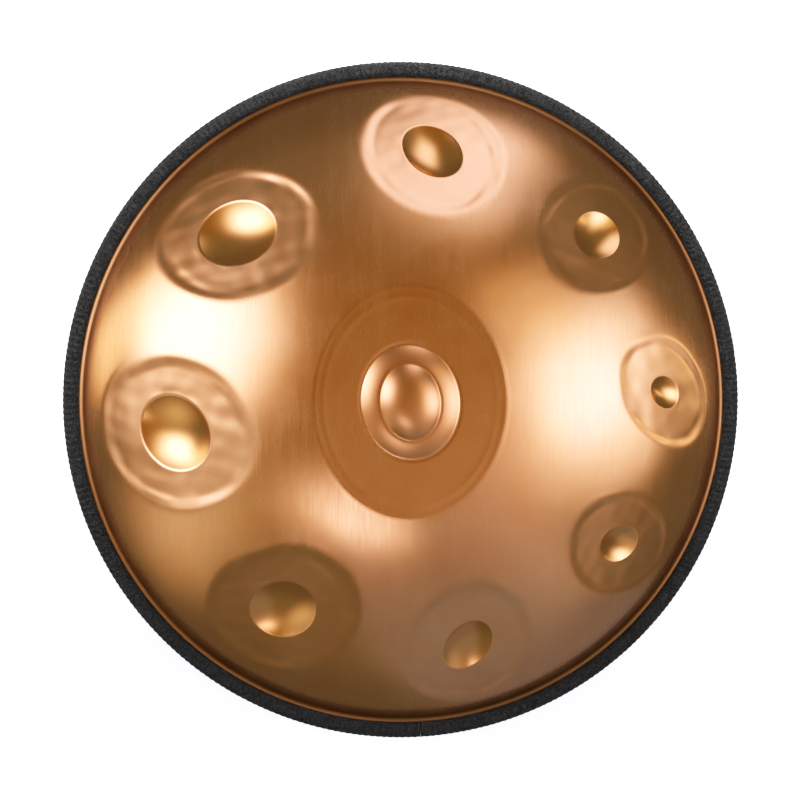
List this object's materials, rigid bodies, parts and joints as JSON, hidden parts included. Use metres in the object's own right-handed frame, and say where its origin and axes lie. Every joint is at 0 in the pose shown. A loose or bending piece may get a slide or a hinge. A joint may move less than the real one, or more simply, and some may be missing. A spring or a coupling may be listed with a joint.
{
  "type": "handpan",
  "caption": "Lens-shaped steel hand drum with a raised central ding, dimpled tone fields round it, a port underneath and a black rubber edge trim, played with the fingers.",
  "frame": {"origin": "centre of the flat ring round the lower port, on the surface that the instrument stands on", "axes": "+Z along the axis towards the ding, +X and +Y across the rim, with the lowest tone field at -X"},
  "size_m": [0.56, 0.56, 0.2416],
  "materials": {
    "bronze_steel": "satin",
    "trim_rubber": "matte",
    "core_steel": "satin",
    "glue": "satin"
  },
  "bodies": {
    "root": {"top_shell": "bronze_steel", "bottom_shell": "bronze_steel", "rim_glue": "glue", "rim_trim": "trim_rubber", "rim_trim_core": "core_steel"}
  },
  "joints": []
}
